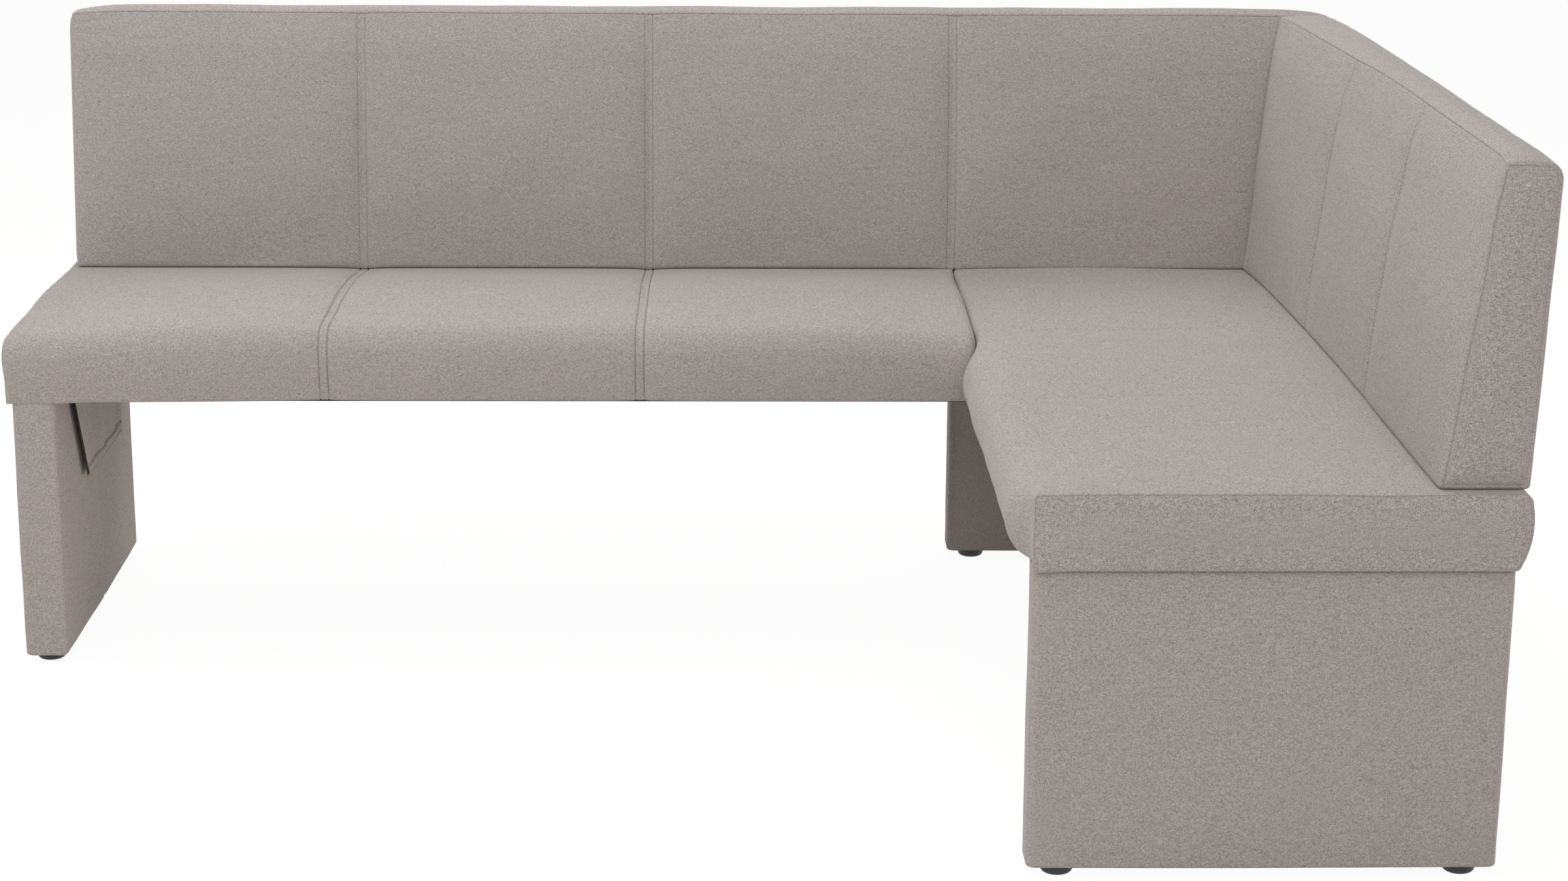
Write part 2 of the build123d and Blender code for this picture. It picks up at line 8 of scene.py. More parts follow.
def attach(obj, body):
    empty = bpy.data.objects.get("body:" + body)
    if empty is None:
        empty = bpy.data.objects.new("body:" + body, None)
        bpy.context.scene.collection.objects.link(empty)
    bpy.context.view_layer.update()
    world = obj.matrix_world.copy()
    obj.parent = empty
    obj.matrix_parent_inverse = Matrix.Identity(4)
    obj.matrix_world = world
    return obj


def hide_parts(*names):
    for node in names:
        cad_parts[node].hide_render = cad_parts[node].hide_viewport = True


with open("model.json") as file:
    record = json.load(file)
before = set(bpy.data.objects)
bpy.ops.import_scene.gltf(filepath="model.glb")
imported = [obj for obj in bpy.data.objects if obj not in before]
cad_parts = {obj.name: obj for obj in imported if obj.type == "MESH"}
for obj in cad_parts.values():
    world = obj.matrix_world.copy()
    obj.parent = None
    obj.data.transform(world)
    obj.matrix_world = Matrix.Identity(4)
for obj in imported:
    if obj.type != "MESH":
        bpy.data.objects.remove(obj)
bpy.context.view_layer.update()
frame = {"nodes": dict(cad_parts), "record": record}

# Shapes are worked out in millimetres in the frame of one bench: s runs along the bench, v is 0 at
# the rear of the seat and falls towards the front, z is the height. They are placed in metres.
MM = 0.001
SEAT_TOP = 486.0
SEAT_LOW = 392.0
SEAT_DEPTH = 585.0
LONG_SEAT = 1370.4
SHORT_SEAT = 1386.0
BACK_LOW = 486.3
BACK_TOP = 874.0
BACK_FOOT = 110.0
BACK_HEAD = 73.0
BACK_LEAN = 14.0
LONG_BACK = (18.0, 1956.0)
SHORT_BACK = (112.0, 1368.0)
LONG_SEAMS = [459.0, 900.0]
LONG_BACK_SEAMS = LONG_SEAMS + [1368.0]
SHORT_SEAMS = [531.0, 931.0]
SEAM_HALF = 6.0
BENCH_ORIGIN = {"long": (-985.0, 686.0), "short": (971.0, 686.0)}

# The middle of a quarter round lies this share of its radius in from each of its two sides.
ROUND_MID = 0.2929


def place(bench, s, v, z):
    """Points of a bench, in millimetres, as places in the part's frame, in metres."""
    x0, y0 = BENCH_ORIGIN[bench]
    if bench == "long":
        return np.stack([x0 + s, y0 + v, z], -1) * MM
    return np.stack([x0 + v, y0 - s, z], -1) * MM


# Mesh helpers


def piece(name, points, faces, material, body="bench"):
    """A smooth mesh piece that rides on a body."""
    mesh = bpy.data.meshes.new(name)
    mesh.from_pydata([tuple(p) for p in points], [], [tuple(f) for f in faces])
    mesh.polygons.foreach_set("use_smooth", [True] * len(mesh.polygons))
    mesh.validate()
    mesh.update()
    made = bpy.data.objects.new(name, mesh)
    bpy.context.scene.collection.objects.link(made)
    made.data.materials.append(material)
    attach(made, body)
    return made


def ring_faces(first, second, count):
    """Quads between two closed rings of count points."""
    pairs = [(i, (i + 1) % count) for i in range(count)]
    return [(first + i, first + k, second + k, second + i) for i, k in pairs]


def tube(rings):
    """Points and faces of closed rings joined one to the next, with a face at each end."""
    count = len(rings[0])
    faces = []
    for index in range(len(rings) - 1):
        faces += ring_faces(index * count, (index + 1) * count, count)
    faces.append(range(count - 1, -1, -1))
    faces.append(range((len(rings) - 1) * count, len(rings) * count))
    return np.concatenate(rings), faces


def line(a, b, n):
    """n points from a towards b, without b."""
    t = np.linspace(0, 1, n, endpoint=False)[:, None]
    return np.array(a) + t * (np.array(b) - np.array(a))


def arc(a, m, b, n, gather=1.0):
    """n points from a towards b on the circle through a, m and b, without b.

    A gather over 1 brings the points closer together near b, one under -1 near a.
    """
    a, m, b = (np.array(p, float) for p in (a, m, b))
    rows = np.array([m - a, b - a])
    if abs(np.linalg.det(rows)) < 1e-9:
        return line(a, b, n)
    centre = a + np.linalg.solve(rows, 0.5 * (rows**2).sum(1))
    start, mid, end = (np.arctan2(*(p - centre)[::-1]) for p in (a, m, b))
    turn = (end - start) % (2 * pi)
    if (mid - start) % (2 * pi) > turn:
        turn -= 2 * pi
    share = np.linspace(0, 1, n, endpoint=False)
    share = share ** -gather if gather < 0 else 1 - (1 - share) ** gather
    angle = start + turn * share
    return centre + np.linalg.norm(a - centre) * np.stack([np.cos(angle), np.sin(angle)], 1)


def outward(outline):
    """Outward unit normals of a closed outline."""
    step = np.roll(outline, -1, 0) - np.roll(outline, 1, 0)
    normal = np.stack([step[:, 1], -step[:, 0]], 1)
    normal /= np.linalg.norm(normal, axis=1)[:, None]
    v, z = outline.T
    area = (v * np.roll(z, -1) - np.roll(v, -1) * z).sum()
    return normal if area > 0 else -normal


def travel(path):
    """Distance along a path from its first point to each of its points."""
    step = np.linalg.norm(np.diff(path, axis=0), axis=1)
    return np.concatenate([[0], np.cumsum(step)])


def hump(x, width):
    """Smooth bump of height 1 at x = 0."""
    return np.exp(-((x / width) ** 2))


def ease(x):
    """Smooth step from 0 to 1."""
    x = np.clip(x, 0, 1)
    return x * x * (3 - 2 * x)


def swell(points, size, seed):
    """Slow unevenness of stuffed fabric, between about -1 and 1, at points in metres."""
    turn = np.random.default_rng(seed)
    total = np.zeros(points.shape[:-1])
    for _ in range(5):
        way = turn.normal(size=3)
        way *= 2 * pi / (size * MM) / np.linalg.norm(way) * turn.uniform(0.7, 1.5)
        total += np.sin(points @ way + turn.uniform(0, 2 * pi))
    return total / 3


def unevenness(points, waves, seed):
    """Swells of several sizes together, each as its (size, height) in millimetres."""
    return sum(height * swell(points, size, seed + index) for index, (size, height) in enumerate(waves))


# Materials


def shader(name, build):
    """A node material; build gets its tree and its shader node."""
    material = bpy.data.materials.new(name)
    material.use_nodes = True
    tree = material.node_tree
    build(tree, tree.nodes["Principled BSDF"])
    return material


def node(tree, kind, **values):
    """A node with its values: sockets by their name, and its own settings by attribute."""
    made = tree.nodes.new(kind)
    for key, value in values.items():
        if hasattr(made, key):
            setattr(made, key, value)
        else:
            made.inputs[key].default_value = value
    return made


def stretched_noise(tree, coords, stretch, detail=2.0):
    """Noise with its own scale along each axis, as grains per metre."""
    mapping = node(tree, "ShaderNodeMapping", Scale=stretch)
    tree.links.new(coords, mapping.inputs["Vector"])
    noise = node(tree, "ShaderNodeTexNoise", Scale=1.0, Detail=detail, Roughness=0.6)
    tree.links.new(mapping.outputs[0], noise.inputs["Vector"])
    return noise.outputs["Fac"]


def maths(tree, operation, first, second):
    """A maths node on two sockets or numbers."""
    made = node(tree, "ShaderNodeMath", operation=operation)
    for index, value in enumerate((first, second)):
        if isinstance(value, (int, float)):
            made.inputs[index].default_value = value
        else:
            tree.links.new(value, made.inputs[index])
    return made.outputs[0]


def ramp(tree, factor, stops):
    """Colours along a factor: (position, (r, g, b)) stops."""
    made = node(tree, "ShaderNodeValToRGB")
    while len(made.color_ramp.elements) < len(stops):
        made.color_ramp.elements.new(0.5)
    for element, (position, colour) in zip(made.color_ramp.elements, stops):
        element.position = position
        element.color = (*colour, 1)
    tree.links.new(factor, made.inputs[0])
    return made.outputs[0]


def bumped(tree, principled, height, strength, distance):
    """Bump from a height on the shader's normal."""
    bump = node(tree, "ShaderNodeBump", Strength=strength, Distance=distance)
    tree.links.new(height, bump.inputs["Height"])
    tree.links.new(bump.outputs[0], principled.inputs["Normal"])


def linear(red, green, blue):
    """Linear colour from display values out of 255."""
    return tuple(((c / 255 + 0.055) / 1.055) ** 2.4 for c in (red, green, blue))


def tinted(colour, factor):
    """A colour made lighter or darker."""
    return tuple(c * factor for c in colour)


# Slubs are the long thick threads, in millimetres. Shares are of the threads along each axis, and clouds
# are the slow mottling, per metre.
SLUB_WIDE, SLUB_LONG = 2.6, 40.0
THREAD_SHARES = (0.25, 0.6, 0.15)
SLUB_SHARES = (0.05, 0.08, 0.0)
CLOUDS, CLOUD_SHARE = 5, 0.02


def melange(name, colour, contrast, thread, streak):
    """Woven melange cloth: short light and dark threads both ways over a slightly mottled colour.

    The threads' width and the streaks' length are in millimetres.
    """

    def build(tree, principled):
        coords = node(tree, "ShaderNodeTexCoord").outputs["Object"]
        weave = None
        yarns = [(thread, streak, THREAD_SHARES), (SLUB_WIDE, SLUB_LONG, SLUB_SHARES)]
        for width, length, shares in yarns:
            fine, long_way = 1 / (width * MM), 1 / (length * MM)
            ways = [(long_way, fine, fine), (fine, long_way, fine), (fine, fine, long_way)]
            for way, share in zip(ways, shares):
                if share:
                    grain = maths(tree, "SUBTRACT", stretched_noise(tree, coords, way), 0.5)
                    grain = maths(tree, "MULTIPLY", grain, share)
                    weave = grain if weave is None else maths(tree, "ADD", weave, grain)
        cloud = stretched_noise(tree, coords, (CLOUDS, CLOUDS, CLOUDS), 1.0)
        cloud = maths(tree, "MULTIPLY", maths(tree, "SUBTRACT", cloud, 0.5), CLOUD_SHARE)
        mixed = maths(tree, "ADD", maths(tree, "ADD", weave, cloud), 0.5)
        dark, light = tinted(colour, 1 - contrast), tinted(colour, 1 + contrast)
        shades = ramp(tree, mixed, [(0.3, dark), (0.5, colour), (0.7, light)])
        tree.links.new(shades, principled.inputs["Base Color"])
        principled.inputs["Roughness"].default_value = 0.92
        principled.inputs["Specular IOR Level"].default_value = 0.18
        principled.inputs["Sheen Weight"].default_value = 0.12
        principled.inputs["Sheen Roughness"].default_value = 0.45
        bumped(tree, principled, weave, 0.35, 0.0007)

    return shader(name, build)


def grained(name, dark, light, stretch, roughness, strength=0.2, distance=0.0005, metallic=0.0):
    """Matter with one stretched grain, such as timber, foam or steel; stretch is in grains per metre."""

    def build(tree, principled):
        coords = node(tree, "ShaderNodeTexCoord").outputs["Object"]
        grain = stretched_noise(tree, coords, stretch, 4.0)
        tree.links.new(ramp(tree, grain, [(0.3, dark), (0.7, light)]), principled.inputs["Base Color"])
        principled.inputs["Roughness"].default_value = roughness
        principled.inputs["Metallic"].default_value = metallic
        bumped(tree, principled, grain, strength, distance)

    return shader(name, build)


CLOTH_COLOUR = linear(168, 160, 157)
cloth = melange("melange_cloth", CLOTH_COLOUR, contrast=0.58, thread=1.2, streak=4.0)
coarse_cloth = melange("melange_end_panel", CLOTH_COLOUR, contrast=0.68, thread=1.25, streak=5.5)
THREAD_DARK, THREAD_LIGHT = linear(104, 97, 94), linear(128, 120, 117)
thread_matter = grained("sewing_thread", THREAD_DARK, THREAD_LIGHT, (900, 900, 900), 0.8)
BLACK_DARK, BLACK_LIGHT = (0.008, 0.008, 0.009), (0.022, 0.022, 0.023)
black_cloth = grained("black_lining", BLACK_DARK, BLACK_LIGHT, (900, 900, 300), 0.95)
PLASTIC_DARK, PLASTIC_LIGHT = (0.010, 0.010, 0.011), (0.024, 0.024, 0.025)
STEEL_DARK, STEEL_LIGHT = (0.30, 0.30, 0.31), (0.42, 0.42, 0.42)
matters = {
    "upholstery": cloth,
    "foam": grained("foam", (0.62, 0.55, 0.30), (0.80, 0.74, 0.48), (700, 700, 700), 0.95, 0.5),
    "webbing": grained("strap", (0.012, 0.012, 0.014), (0.05, 0.05, 0.055), (150, 900, 900), 0.85),
    "black_cloth": black_cloth,
    "timber": grained("timber", (0.36, 0.22, 0.11), (0.56, 0.38, 0.20), (9, 160, 160), 0.7),
    "board": grained("pressed_board", (0.30, 0.19, 0.10), (0.52, 0.36, 0.20), (260, 260, 260), 0.8),
    "steel": grained("plated_steel", STEEL_DARK, STEEL_LIGHT, (90, 700, 700), 0.38, 0.08, 0.0002, 1.0),
    "glide_plastic": grained("glide_plastic", PLASTIC_DARK, PLASTIC_LIGHT, (800, 800, 800), 0.5, 0.1),
}
for part in frame["record"]["subparts"]:
    held = frame["nodes"][part["node"]]
    held.data.materials.clear()
    held.data.materials.append(matters[part["material_slot"]])


# Cushions

# Distances of the stations from a seam and from an end, and the widest step between stations.
SEAM_STEPS = [2.5, 3.7, 4.5, 5.2, 5.7, 6.0, 6.3, 6.8, 7.5, 8.6, 10.5, 13.5, 18, 24, 32, 42]
END_STEPS = [0.0, 0.7, 1.6, 3.0, 5.0, 7.5, 10.5, 14.0, 18.0, 23.0, 30.0, 40.0]
PANEL_STEP = 15.0


def seam_rings(at):
    """Stations around a sewn seam, close together where its two lines lie."""
    return [at - d for d in reversed(SEAM_STEPS)] + [at] + [at + d for d in SEAM_STEPS]


def stations(start, end, seams):
    """Stations from start to end, dense at both ends and at the seams."""
    fixed = [start + d for d in END_STEPS] + [end - d for d in END_STEPS]
    for at in seams:
        fixed += seam_rings(at)
    fixed = sorted(fixed)
    filled = []
    for a, b in zip(fixed, fixed[1:]):
        filled += list(np.linspace(a, b, max(1, int(round((b - a) / PANEL_STEP))), endpoint=False))
    return filled + [end]


# Rings of an end panel: share of the way from its edge to its middle, and how far it stands out.
CAP_RINGS = [(0.005, -0.5), (0.012, -0.7), (0.03, -0.1), (0.08, 0.4), (0.16, 0.9)]
CAP_RINGS += [(0.3, 1.4), (0.5, 1.8), (0.72, 2.0), (0.9, 2.1)]

# Sizes and heights of the stuffing's unevenness, how far along a seam and an end draw the form in, and
# how nearly the held stretch of a seat is boxed.
CUSHION_WAVES = [(210, 0.9), (70, 0.35)]
SEAM_REACH = 22.0
END_REACH = 12.0
HELD_SHARE = 0.8


class Cushion:
    """A stuffed form along a bench, drawn in at its sewn seams and closed by a panel at each end.

    Pairs are for its start and its end. An end panel closes on the section's medial line.
    """

    def __init__(self, bench, start, end, sections, weights, medial, seams, seed):
        self.bench, self.start, self.end = bench, start, end
        self.full, self.sewn, self.boxed = sections
        self.seamed, self.loose, held_in, self.grooves = weights
        self.rolled = (held_in, held_in)
        self.medial, self.seams, self.seed = medial, seams, seed
        self.normal = outward(self.full)
        self.rounds = (3.0, 3.0)
        self.box_reach = (90.0, 90.0)
        self.end_pull = 0.25
        self.cap_swell = 1.0
        self.held = None
        self.lean = None
        self.extra = None

    def outline(self, s):
        """Section at station s."""
        pull = sum(strength * np.exp(-abs(s - at) / SEAM_REACH) for at, strength, _ in self.seams)
        ends = (s - self.start, self.end - s)
        pull += self.end_pull * sum(np.exp(-d / END_REACH) for d in ends)
        pull = min(pull, 1.0)
        cut = 0.0
        for at, strength, lines in self.seams:
            for offset, depth, width in lines:
                cut += strength * depth * hump(s - at - offset, width)
        shape = self.full + (self.sewn - self.full) * (pull * self.seamed)[:, None]
        sink = cut * self.seamed + self.grooves
        if self.held:
            start, end = self.held
            share = HELD_SHARE * (1 - ease((s - start) / (end - start)))
            shape = shape + (self.boxed - self.full) * share
        for d, radius, reach, rolled in zip(ends, self.rounds, self.box_reach, self.rolled):
            d = max(d, 0.0)
            if d < reach:
                shape = shape + (self.boxed - self.full) * (1 - d / reach) ** 2
            if d < radius:
                sink = sink + rolled * (radius - (radius**2 - (radius - d) ** 2) ** 0.5)
        return shape - self.normal * sink[:, None]

    def at(self, s, shape):
        """Places of a section's points at station s, with the stuffing's unevenness."""
        along = np.full(len(shape), float(s))
        if self.lean is not None:
            along = along + self.lean(s, shape)
        points = place(self.bench, along, shape[:, 0], shape[:, 1])
        uneven = unevenness(points, CUSHION_WAVES, self.seed) * self.loose
        moved = shape + self.normal * uneven[:, None]
        if self.extra is not None:
            moved = moved + np.stack(self.extra(s, shape), 1)
        return place(self.bench, along, moved[:, 0], moved[:, 1])

    def surface(self, s):
        """Places of the whole section at station s."""
        return self.at(s, self.outline(s))

    def cap(self, s, way):
        """Rings of an end panel, from its sewn edge to its middle."""
        edge = self.outline(s)
        a, b = (np.array(p) for p in self.medial)
        share = np.clip(((edge - a) @ (b - a)) / ((b - a) @ (b - a)), 0, 1)
        spine = a + share[:, None] * (b - a)
        rings = []
        for t, out in CAP_RINGS:
            reach = out if out < 0 else out * self.cap_swell
            points = self.at(s, edge)
            inner = self.at(s + way * reach, edge)
            middle = place(self.bench, np.full(len(spine), s + way * reach), spine[:, 0], spine[:, 1])
            rings.append(inner + (middle - points) * t)
        return rings

    def build(self, name, material, end_material, replaced, fill):
        """The cushion's piece, in place of its solid."""
        at = stations(self.start, self.end, [seam[0] for seam in self.seams])
        body = [self.surface(s) for s in at]
        first, last = self.cap(self.start, -1), self.cap(self.end, 1)
        points, faces = tube(first[::-1] + body + last)
        made = piece(name, points, faces, material)
        made.data.materials.append(end_material)
        count = len(self.full)
        capped = len(first) * count
        body_end = capped + (len(body) - 1) * count
        index = np.zeros(len(faces), np.int32)
        index[:capped] = 1
        index[body_end:] = 1
        made.data.polygons.foreach_set("material_index", index)
        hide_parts(replaced)
        return made


# Depth of the strip under the back, radius of the front edge, how far the lower edges are drawn in, and
# the radius of the upper rear edge.
SEAT_FLAT = 111.0
NOSE = 33.0
TUCK = 9.0
SEAT_REAR = 12.0
CREST_POINTS = 40


def seat_section(crown, draw, nose=NOSE, tuck=TUCK):
    """Closed section of a seat and four weights: following seams, looseness, rolled ends, grooves."""
    depth = SEAT_DEPTH - draw
    top, low = SEAT_TOP, SEAT_LOW
    mid = (top + low) / 2
    d = ROUND_MID
    nose_top, nose_low = (nose - depth, top - draw), (-depth, top - draw - nose)
    crest = (-(SEAT_FLAT + depth - nose) / 2, top - draw / 2 + crown)
    foot = (tuck - depth, low + 6)
    parts = [
        arc((-TUCK, low + 6), (0.25 * TUCK, mid), (0, top - SEAT_REAR), 7),
        arc((0, top - SEAT_REAR), (-SEAT_REAR * d, top - SEAT_REAR * d), (-SEAT_REAR, top), 4),
        line((-SEAT_REAR, top), (-SEAT_FLAT, top - draw), 5),
        arc((-SEAT_FLAT, top - draw), crest, nose_top, CREST_POINTS),
        arc(nose_top, (nose * d - depth, top - draw - nose * d), nose_low, 18),
        arc(nose_low, (0.25 * tuck - depth, (low + top - nose) / 2), foot, 12),
        arc(foot, (tuck + 2.5 - depth, low + 1.6), (tuck + 7 - depth, low), 4),
        line((tuck + 7 - depth, low), (-TUCK - 7, low), 14),
        arc((-TUCK - 7, low), (-TUCK - 2.5, low + 1.6), (-TUCK, low + 6), 3),
    ]
    counts = [len(p) for p in parts]
    rise = np.clip(np.arange(CREST_POINTS) / 5, 0, 1)
    follow = spread_weights([0, 0, [0, 0, 0, 0.3, 0.8], 1, 1, 1, 0.6, 0, 0], counts)
    soft = spread_weights([0.2, 0, 0, rise, 1, 1, 0.3, 0, 0], counts)
    rolled = spread_weights([0.3, 0.1, 0, rise, 1, 1, 1, 0.3, 0.3], counts)
    return np.concatenate(parts), (follow, soft, rolled, np.zeros(sum(counts)))


def spread_weights(values, counts):
    """One weight for each point of a section, from one number or one row for each of its parts."""
    return np.concatenate([np.broadcast_to(np.asarray(v, float), (n,)) for v, n in zip(values, counts)])


# How far below the top the front starts to roll over, the sewn crease's distance behind the front, the
# radii of the upper rear and lower edges, and the depth of the top's crest.
ROLL_START = 56.0
CREASE_BACK = 10.0
REAR_EDGE = 22.0
BASE = 6.0
HEAD_CREST = -26.0
HEAD_POINTS = 26


def back_section(crown, lift, draw, set_back=CREASE_BACK):
    """Closed section of a back, its front rolled over to a sewn crease, and weights as for a seat."""
    front_foot = draw - BACK_FOOT
    front_head = BACK_LEAN - BACK_HEAD + draw
    d = ROUND_MID
    crease = np.array((front_head + set_back, BACK_TOP - 0.6 * draw))
    low_edge = BACK_LOW + BASE
    roll_z = BACK_TOP - ROLL_START
    rise = (roll_z - BACK_LOW) / (BACK_TOP - BACK_LOW)
    roll = np.array((front_foot + (front_head - front_foot) * rise - 0.45 * crown, roll_z))
    face_mid = ((front_foot + roll[0]) / 2 - crown, (low_edge + roll_z) / 2)
    bulge = np.array((-0.92, 0.39)) * 0.14 * set_back
    rear = BACK_LEAN
    head = BACK_TOP + 0.5 * lift
    crest = (HEAD_CREST, BACK_TOP + lift)
    foot_mid = (front_foot + BASE * d, BACK_LOW + BASE * d)
    rear_mid = (rear - REAR_EDGE * d, head - REAR_EDGE * d)
    parts = [
        line((-BASE, BACK_LOW), (front_foot + BASE, BACK_LOW), 9),
        arc((front_foot + BASE, BACK_LOW), foot_mid, (front_foot, low_edge), 4),
        arc((front_foot, low_edge), face_mid, roll, 38),
        arc(roll, (roll + crease) / 2 + bulge, crease, 34, 1.5),
        arc(crease, crest, (rear - REAR_EDGE, head), HEAD_POINTS, -1.5),
        arc((rear - REAR_EDGE, head), rear_mid, (rear, head - REAR_EDGE), 9),
        line((rear, head - REAR_EDGE), (0, low_edge), 16),
        arc((0, low_edge), (-BASE * d, BACK_LOW + BASE * d), (-BASE, BACK_LOW), 4),
    ]
    counts = [len(p) for p in parts]
    fade = np.clip(0.6 - np.arange(HEAD_POINTS) / 14, 0, 1)
    follow = spread_weights([0, 1, 1, 1, fade, 0, 0, 0], counts)
    soft = spread_weights([0, 0.3, 1, 1, 0.8, 0.6, 0.5, 0], counts)
    outline = np.concatenate(parts)
    along = travel(outline)
    away = along - along[sum(counts[:4])]
    grooves = 2.0 * hump(away, 0.9) - 0.5 * hump(away - 5, 4)
    return outline, (follow, soft, np.ones(len(outline)), grooves)


# Lines of a sewn seam: offset from its middle, depth and width. A seam has a place, a strength and its
# lines.
DOUBLE = [(-SEAM_HALF, 2.0, 0.9), (SEAM_HALF, 2.4, 0.9)]
TOPSTITCHED = [(-SEAM_HALF, 0.9, 1.0), (SEAM_HALF, 1.7, 0.8)]
FAINT = [(0.0, 3.0, 1.5)]


def seat_cushion(bench, length, seams, seed):
    """A seat, with its full, sewn and boxed sections."""
    full, weights = seat_section(crown=6.0, draw=0.0)
    sewn, _ = seat_section(crown=1.0, draw=3.5)
    boxed, _ = seat_section(crown=2.0, draw=0.0, nose=4.0, tuck=0.0)
    middle = (SEAT_TOP + SEAT_LOW) / 2
    medial = [(-52, middle), (45 - SEAT_DEPTH, middle)]
    return Cushion(bench, 0.0, length, (full, sewn, boxed), weights, medial, seams, seed)


def back_cushion(bench, span, seams, seed):
    """A back, with its full, sewn and boxed sections."""
    full, weights = back_section(crown=9.0, lift=8.0, draw=0.0)
    sewn, _ = back_section(crown=1.0, lift=6.5, draw=3.5, set_back=8.0)
    boxed, _ = back_section(crown=2.0, lift=2.0, draw=0.0, set_back=3.0)
    medial = [(-54, 534), (-24, 838)]
    return Cushion(bench, *span, (full, sewn, boxed), weights, medial, seams, seed)


long_seat = seat_cushion("long", LONG_SEAT, [(at, 1.0, DOUBLE) for at in LONG_SEAMS], seed=3)
long_seat.rounds = (14.0, 14.0)
long_seat.rolled = (ease((long_seat.full[:, 1] - SEAT_LOW - 2.0) / 25.0), long_seat.rolled[1])
long_seat.box_reach = (0.0, 0.0)
short_seat = seat_cushion("short", SHORT_SEAT, [(at, 0.35, FAINT) for at in SHORT_SEAMS], seed=5)
short_seat.rounds = (3.0, 1.5)
short_seat.box_reach = (0.0, 120.0)
short_seat.held = (540.0, 630.0)
long_back = back_cushion("long", LONG_BACK, [(at, 0.85, TOPSTITCHED) for at in LONG_BACK_SEAMS], seed=7)
long_back.rounds = (3.0, 5.0)
long_back.cap_swell = 2.4
short_back = back_cushion("short", SHORT_BACK, [(at, 0.7, TOPSTITCHED) for at in SHORT_SEAMS], seed=9)
short_back.rounds = (15.0, 5.0)


# Soft moves of the seats: the lower front lip, the short seat's swollen front, the long seat's crown,
# its sag and lap at the free end, the tuck of its end panel and the drift of its seams.
LIP, LIP_START, LIP_WIDE = 1.8, 555.0, 22.0
BULGE, BULGE_START, BULGE_RISE = 27.0, 560.0, 60.0
BULGE_END, BULGE_FALL = SHORT_SEAT - 30.0, 70.0
BULGE_DEPTH, BULGE_SPREAD = 505.0, 70.0
CROWN, CROWN_RISE, CROWN_FALL = 15.5, 260.0, 4.5
CROWN_LEFT, CROWN_RIGHT, CROWN_KEPT = 240.0, 220.0, 0.35
SAG, SAG_START, SAG_SPREAD, SAG_REACH = 3.0, 150.0, 300.0, 440.0
LAP_OUT, LAP_DOWN, LAP_END, LAP_FALL = 7.0, 4.7, 130.0, 60.0
END_TUCK, TUCK_TOP, TUCK_REACH = 5.0, SEAT_TOP - 30.0, 40.0
SEAM_ASIDE, ASIDE_LEFT, ASIDE_RIGHT = 8.5, 300.0, 900.0


def seat_level(shape):
    """Height of a seat's points, from 0 at its lower edge to 1 at its top."""
    return (shape[:, 1] - SEAT_LOW) / (SEAT_TOP - SEAT_LOW)


def lower_lip(shape, level):
    """How far a seat's points belong to its lower front edge, from 0 to 1."""
    return (1 - level) * ease((-shape[:, 0] - LIP_START) / LIP_WIDE)


def seat_bulge(s, shape):
    """The short seat's front swells where the long seat doesn't hold it in."""
    free = ease((s - BULGE_START) / BULGE_RISE) * ease((BULGE_END - s) / BULGE_FALL)
    front = ease((-shape[:, 0] - BULGE_DEPTH) / BULGE_SPREAD)
    level = seat_level(shape)
    belly = 0.75 + level * (1.1 - 1.85 * level)
    return -BULGE * free * front * np.clip(belly, 0, 1), -LIP * lower_lip(shape, level)


def long_seat_form(s, shape):
    """The long seat is crowned between its ends, and hangs and laps over the cheek at its free end."""
    depth = -shape[:, 0]
    level = np.clip(seat_level(shape), 0, 1)
    filled = CROWN_KEPT + (1 - CROWN_KEPT) * ease((LONG_SEAT - s) / CROWN_RIGHT)
    filled = ease(s / CROWN_LEFT) * filled
    crest = SEAT_FLAT + CROWN_RISE
    crown = CROWN * np.sin(pi / 2 * np.clip((depth - SEAT_FLAT) / CROWN_RISE, 0, 1))
    crown = crown - CROWN_FALL * np.clip((depth - crest) / (SEAT_DEPTH - crest), 0, 1)
    sag = SAG * ease((depth - SAG_START) / SAG_SPREAD)
    lip = lower_lip(shape, level)
    free = max(0.0, 1 - s / SAG_REACH)
    rise = level * (crown * filled - sag * free) - (LIP + LAP_DOWN * free) * lip
    return -LAP_OUT * lip * ease((LAP_END - s) / LAP_FALL), rise


def long_seat_lean(s, shape):
    """How far the end panel leans inwards at its lower edge, and the seams run aside to the front."""
    low = np.clip((TUCK_TOP - shape[:, 1]) / (TUCK_TOP - SEAT_LOW), 0, 1)
    tuck = low * np.exp(-max(s, 0.0) / TUCK_REACH)
    aside = np.clip((-shape[:, 0] - SEAT_FLAT) / (SEAT_DEPTH - SEAT_FLAT), 0, 1)
    aside = SEAM_ASIDE * aside * ease(s / ASIDE_LEFT) * ease((LONG_SEAT - s) / ASIDE_RIGHT)
    return END_TUCK * tuck - aside


# Soft moves of the backs: how far they reach into a seam's dip, how far the long one's ends fall, how
# much fuller the short one is near the corner and right at the joint, and its rear edge's fall there.
SEAM_DROP, DROP_HEIGHT = 3.8, 28.0
LEFT_FALL, RIGHT_FALL, FALL_REACH = 3.0, 7.0, 24.0
FALL_START, FALL_SPREAD = 815.0, 50.0
FULLER, FULLER_ABOVE, FULLER_REACH = 12.0, 14.0, 700.0
JOINT, JOINT_ABOVE, JOINT_REACH = 13.0, -8.0, 90.0
REAR_FALL, REAR_REACH = 3.0, 350.0


def seam_drop(s, shape, seams):
    """A back reaches down into the dips of the seat at its seams."""
    low = 1 - ease((shape[:, 1] - BACK_LOW) / DROP_HEIGHT)
    return -SEAM_DROP * low * sum(np.exp(-abs(s - at) / SEAM_REACH) for at in seams)


